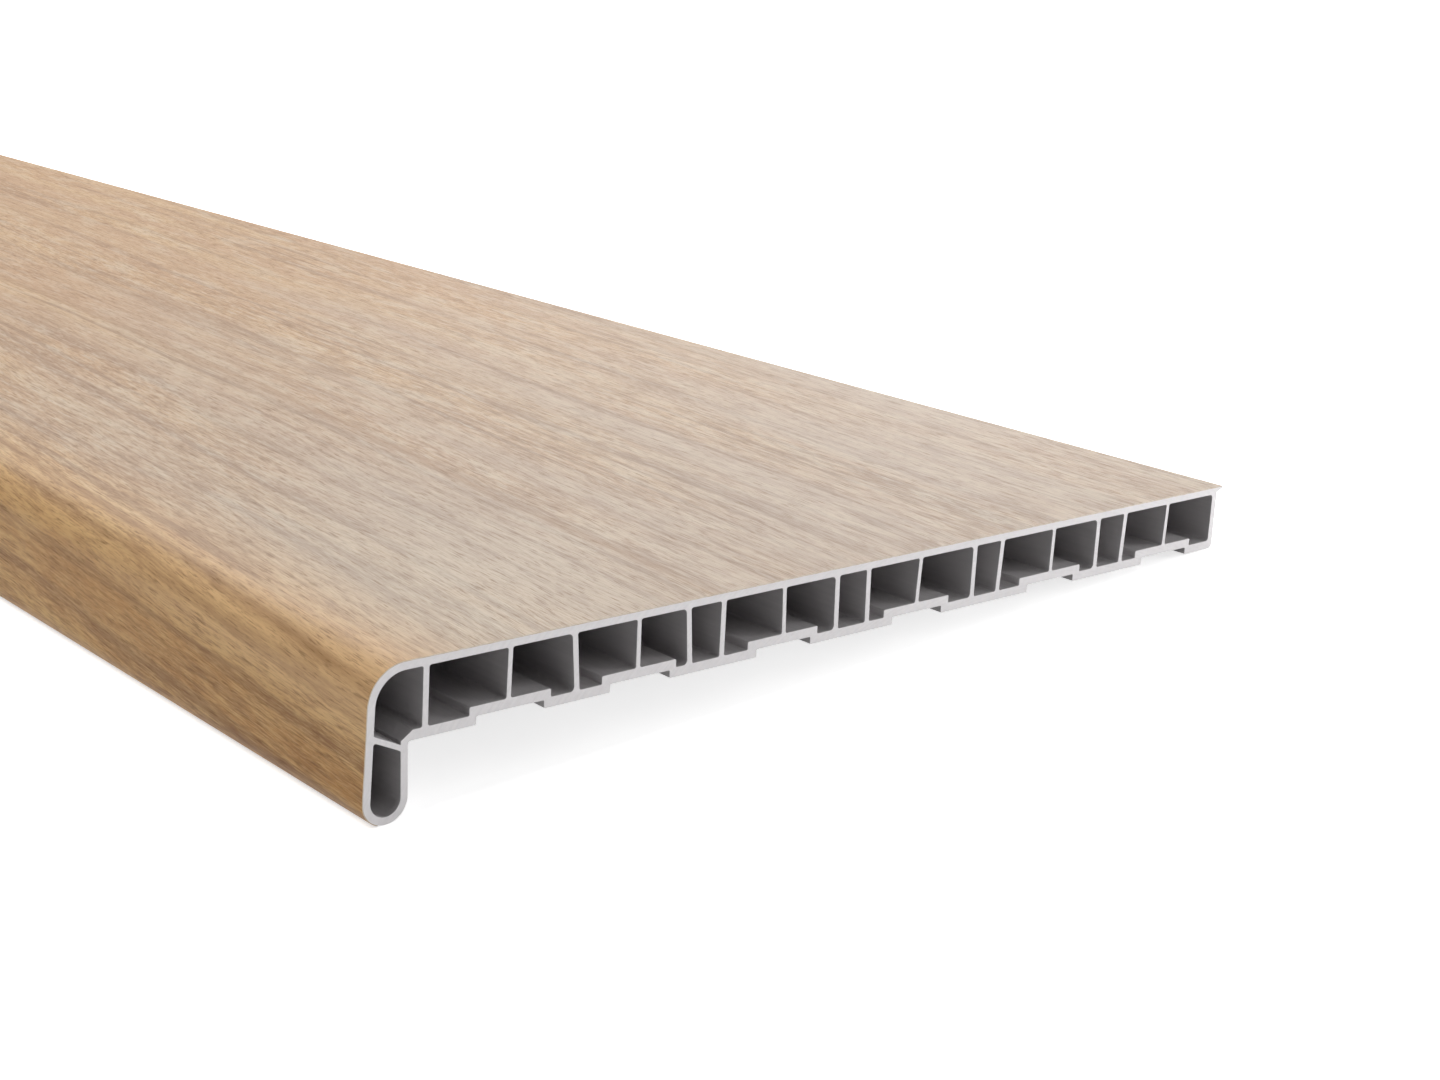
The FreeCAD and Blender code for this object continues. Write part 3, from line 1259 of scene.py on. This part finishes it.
@dataclass
class FaceFilm:
    """The decor film, laid from the back lip over the face and round the nose.

    Its rounds have a point every few degrees, the step, and the face has one held a short way
    before the bend, in millimetres, so that it stays flat up to there.
    """

    sizes: SectionSizes = field(default_factory=SectionSizes)
    finish: OakDecorFilm = OakDecorFilm()
    cut_edge: CutFilmEdge = CutFilmEdge()
    step: float = 3.0
    hold: float = 1.0

    def path(self) -> list[tuple[float, float]]:
        """Lay points along the film's outer side, from the lip to its end under the nose.

        Returns:
            The points (y, z) in millimetres.
        """
        size = self.sizes
        lean = math.radians(size.nose_lean_angle)
        bend_z = size.face_of_plastic - size.face_round
        bend_y = size.front_face(bend_z, 0) + size.face_round / math.cos(lean)
        front = 180.0 - size.nose_lean_angle
        film_end = 180.0 + size.film_wrap_angle
        points = [(size.board_width, size.nose_height), (bend_y + self.hold, size.nose_height)]
        rounds = (
            (bend_y, bend_z, size.face_round + size.film_thickness, 90.0, front),
            (size.tip_centre, size.tip_radius, size.tip_radius + size.film_thickness, front, film_end),
        )
        for y, z, radius, start, end in rounds:
            count = math.ceil((end - start) / self.step)
            for number in range(count + 1):
                turn = math.radians(start + (end - start) * number / count)
                points.append((y + radius * math.cos(turn), z + radius * math.sin(turn)))
        return points

    def laying_tree(self) -> NodeTree:
        """Build the tree that draws the path out along the board and gives it its thickness.

        Returns:
            The tree, with the inputs Length, Thickness, Face and Edge.
        """
        tree, given, result = geometry_group(
            "lay_film",
            {
                "Length": "NodeSocketFloat",
                "Thickness": "NodeSocketFloat",
                "Face": "NodeSocketMaterial",
                "Edge": "NodeSocketMaterial",
            },
        )
        along = add_node(tree, "ShaderNodeCombineXYZ", {"X": 1.0})
        sheet = add_node(
            tree,
            "GeometryNodeExtrudeMesh",
            {
                "Mesh": given.outputs["Geometry"],
                "Offset": along.outputs[0],
                "Offset Scale": given.outputs["Length"],
            },
            mode="EDGES",
        )
        turned = add_node(tree, "GeometryNodeFlipFaces", {"Mesh": sheet.outputs["Mesh"]})
        backed = add_node(
            tree,
            "GeometryNodeExtrudeMesh",
            {
                "Mesh": sheet.outputs["Mesh"],
                "Offset Scale": given.outputs["Thickness"],
                "Individual": False,
            },
            mode="FACES",
        )
        sealed = join_and_seal(tree, [backed.outputs["Mesh"], turned.outputs[0]])
        placed = add_node(tree, "GeometryNodeTransform", {"Geometry": sealed, "Scale": (MM, MM, MM)})
        place = add_node(tree, "GeometryNodeInputPosition")
        parts = add_node(tree, "ShaderNodeSeparateXYZ", {0: place.outputs[0]})
        from_end = weighted_sum(tree, parts.outputs["X"], (given.outputs["Length"], MM / 2))
        stored = {"Name": "laid_length"}
        laid = add_node(tree, "GeometryNodeInputNamedAttribute", stored, data_type="FLOAT")
        run = add_node(tree, "ShaderNodeCombineXYZ", {"X": from_end, "Y": laid.outputs["Attribute"]})
        mapped = add_node(
            tree,
            "GeometryNodeStoreNamedAttribute",
            {"Geometry": placed.outputs[0], "Name": "run", "Value": run.outputs[0]},
            data_type="FLOAT2",
            domain="CORNER",
        )
        dressed = dress_ends(tree, mapped.outputs[0], given.outputs["Face"], given.outputs["Edge"])
        tree.links.new(dressed, result.inputs[0])
        return tree

    def build(self) -> Object:
        """Lay the film and dress it.

        Returns:
            The finished piece, which stands for the film in the frame.
        """
        size = self.sizes
        start = -size.board_length / 2
        outer = [size.in_part(y, z) for y, z in self.path()]
        wires = wire_object("film_path", [[(start, y, z) for y, z in outer]], closed=False)
        laid = wires.data.attributes.new("laid_length", "FLOAT", "POINT")
        travelled = 0.0
        for index, place in enumerate(outer):
            if index:
                travelled += math.dist(outer[index - 1], place)
            laid.data[index].value = travelled * MM
        values = {
            "Length": size.board_length,
            "Thickness": size.film_thickness,
            "Face": self.finish.material(),
            "Edge": self.cut_edge.material(),
        }
        piece = run_tree(wires, self.laying_tree(), values, "oak_decor_film")
        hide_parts("decor_film")
        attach(piece, "root")
        return piece


@dataclass(frozen=True)
class Softbox:
    """One studio softbox: where it stands, where it looks, its size in metres and its power."""

    name: str
    place: tuple[float, float, float]
    target: tuple[float, float, float]
    width: float
    height: float
    watts: float

    def build(self) -> Object:
        """Hang the softbox.

        Returns:
            The light's object.
        """
        data = bpy.data.lights.new(self.name, "AREA")
        data.shape = "RECTANGLE"
        data.size = self.width
        data.size_y = self.height
        data.energy = self.watts
        lamp = add_object(self.name, data)
        lamp.location = self.place
        look = Vector(self.target) - Vector(self.place)
        lamp.rotation_euler = look.to_track_quat("-Z", "Y").to_euler()
        return lamp


@dataclass
class Studio:
    """The pale floor, the softboxes, the white surround and the camera.

    Places and reaches are in metres, the camera's turn is in degrees, and its lens and sensor
    are in millimetres.
    """

    sizes: SectionSizes = field(default_factory=SectionSizes)
    floor_colour: str = "#f4f4f4"
    floor_reach: float = 8.0
    floor_roughness: float = 0.9
    floor_specular: float = 0.1
    glow: Fade = Fade(0.7, 2.2, 0.7, 1.0)
    fill: float = 0.03
    camera_place: tuple[float, float, float] = (0.89032, -0.39117, 0.20025)
    camera_turn: tuple[float, float, float] = (73.9548, -2.4999, 49.5116)
    camera_lens: float = 55.762
    camera_sensor: float = 36.0
    camera_sight: tuple[float, float] = (0.01, 60.0)
    softboxes: tuple[Softbox, ...] = (
        Softbox("overhead", (-0.6, 0.5, 1.2), (-0.2, 0.1, 0.0), 1.2, 0.8, 15.0),
        Softbox("front", (0.22, -0.85, 1.3), (0.22, -0.15, 0.02), 0.9, 0.7, 12.6),
        Softbox("back_right", (1.1, 1.1, 0.25), (0.5, 0.0, 0.02), 0.6, 0.3, 11.8),
        Softbox("top_right", (1.0, 0.0, 0.8), (0.5, 0.0, 0.02), 0.6, 0.6, 1.4),
        Softbox("sheen", (-1.0, 1.5, 0.6), (0.35, 0.0, 0.03), 1.2, 0.5, 4.4),
        Softbox("gloss", (-0.3, 1.2, 0.4), (0.45, 0.05, 0.03), 0.7, 0.4, 1.5),
    )

    def floor_tilt(self) -> float:
        """Find the turn about X of the plane that the nose tip and the back corner stand on.

        Returns:
            The angle in radians.
        """
        size = self.sizes
        near = size.tip_radius
        far = size.back_round
        run = (size.back_outside - far) - (size.nose_depth - near)
        rise = (size.underside + far) - near
        return math.atan2(rise, run) - math.asin((far - near) / math.hypot(run, rise))

    def floor(self) -> Object:
        """Lay the floor under the nose tip and the back corner.

        Returns:
            The floor, marked as stage.
        """
        size = self.sizes
        tilt = self.floor_tilt()
        hub_y, hub_z = size.in_part(size.nose_depth - size.tip_radius, size.tip_radius)
        touch_y = (hub_y + size.tip_radius * math.sin(tilt)) * MM
        touch_z = (hub_z - size.tip_radius * math.cos(tilt)) * MM
        corners = []
        for x, run in ((-1, -1), (1, -1), (1, 1), (-1, 1)):
            reach = run * self.floor_reach
            y = touch_y + reach * math.cos(tilt)
            z = touch_z + reach * math.sin(tilt)
            corners.append((x * self.floor_reach, y, z))
        mesh = bpy.data.meshes.new("floor")
        mesh.from_pydata(corners, [], [(0, 1, 2, 3)])
        mesh.materials.append(self.floor_material())
        made = add_object("floor", mesh)
        return made

    def floor_material(self) -> Material:
        """Build the floor's pale matt paper, which runs out into the white surround.

        Returns:
            The material.
        """
        material, tree = new_surface("studio_paper")
        paper = add_node(
            tree,
            "ShaderNodeBsdfPrincipled",
            {
                "Base Color": linear(self.floor_colour),
                "Roughness": self.floor_roughness,
                "Specular IOR Level": self.floor_specular,
            },
        )
        place = add_node(tree, "ShaderNodeTexCoord").outputs["Object"]
        distance = add_node(tree, "ShaderNodeVectorMath", {0: place}, operation="LENGTH")
        away = add_node(
            tree,
            "ShaderNodeMapRange",
            self.glow.inputs(distance.outputs["Value"]),
            interpolation_type="SMOOTHSTEP",
        )
        share = faded(tree, away.outputs[0], self.seen_ray(tree))
        light = add_node(tree, "ShaderNodeEmission", {"Color": linear(WHITE), "Strength": share})
        both = add_node(tree, "ShaderNodeAddShader", {0: paper.outputs[0], 1: light.outputs[0]})
        add_node(tree, "ShaderNodeOutputMaterial", {"Surface": both.outputs[0]})
        return material

    def seen_ray(self, tree: NodeTree) -> Any:
        """Add the test for rays that show the background: camera, mirror and see-through ones.

        Args:
            tree: the node tree.

        Returns:
            The socket that is 1 for such a ray and 0 for light.
        """
        path = add_node(tree, "ShaderNodeLightPath")
        seen = path.outputs["Is Camera Ray"]
        for kind in ("Is Glossy Ray", "Is Transmission Ray"):
            either = {0: seen, 1: path.outputs[kind]}
            seen = add_node(tree, "ShaderNodeMath", either, operation="MAXIMUM").outputs[0]
        return seen

    def surround(self) -> None:
        """Set the world: white to look at, and a low even fill as light."""
        world = bpy.data.worlds.new("white_surround")
        bpy.context.scene.world = world
        world.use_nodes = True
        tree = world.node_tree
        tree.nodes.clear()
        strength = faded(tree, (self.seen_ray(tree), Fade(0.0, 1.0, self.fill, 1.0)))
        white = add_node(tree, "ShaderNodeBackground", {"Color": linear(WHITE), "Strength": strength})
        add_node(tree, "ShaderNodeOutputWorld", {"Surface": white.outputs[0]})

    def camera(self) -> Object:
        """Set the camera at the photograph's place and angle.

        Returns:
            The camera's object.
        """
        data = bpy.data.cameras.new("camera")
        data.sensor_width = self.camera_sensor
        data.lens = self.camera_lens
        data.clip_start, data.clip_end = self.camera_sight
        made = add_object("camera", data)
        made.location = self.camera_place
        made.rotation_euler = [math.radians(angle) for angle in self.camera_turn]
        bpy.context.scene.camera = made
        return made

    def build(self) -> None:
        """Set up the floor, the lights, the surround, the camera and the plain view."""
        self.floor()
        for softbox in self.softboxes:
            softbox.build()
        self.surround()
        self.camera()
        bpy.context.scene.view_settings.view_transform = "Standard"


def main() -> None:
    """Build the board and its studio, and log how many faces each piece has."""
    logging.basicConfig(level=logging.INFO, format="%(message)s")
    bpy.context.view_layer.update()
    sizes = SectionSizes()
    for assembly in (HollowBoard(sizes), FaceFilm(sizes)):
        piece = assembly.build()
        log.info("%s: %d faces", piece.name, len(piece.data.polygons))
    Studio(sizes).build()


if __name__ == "__main__":
    main()
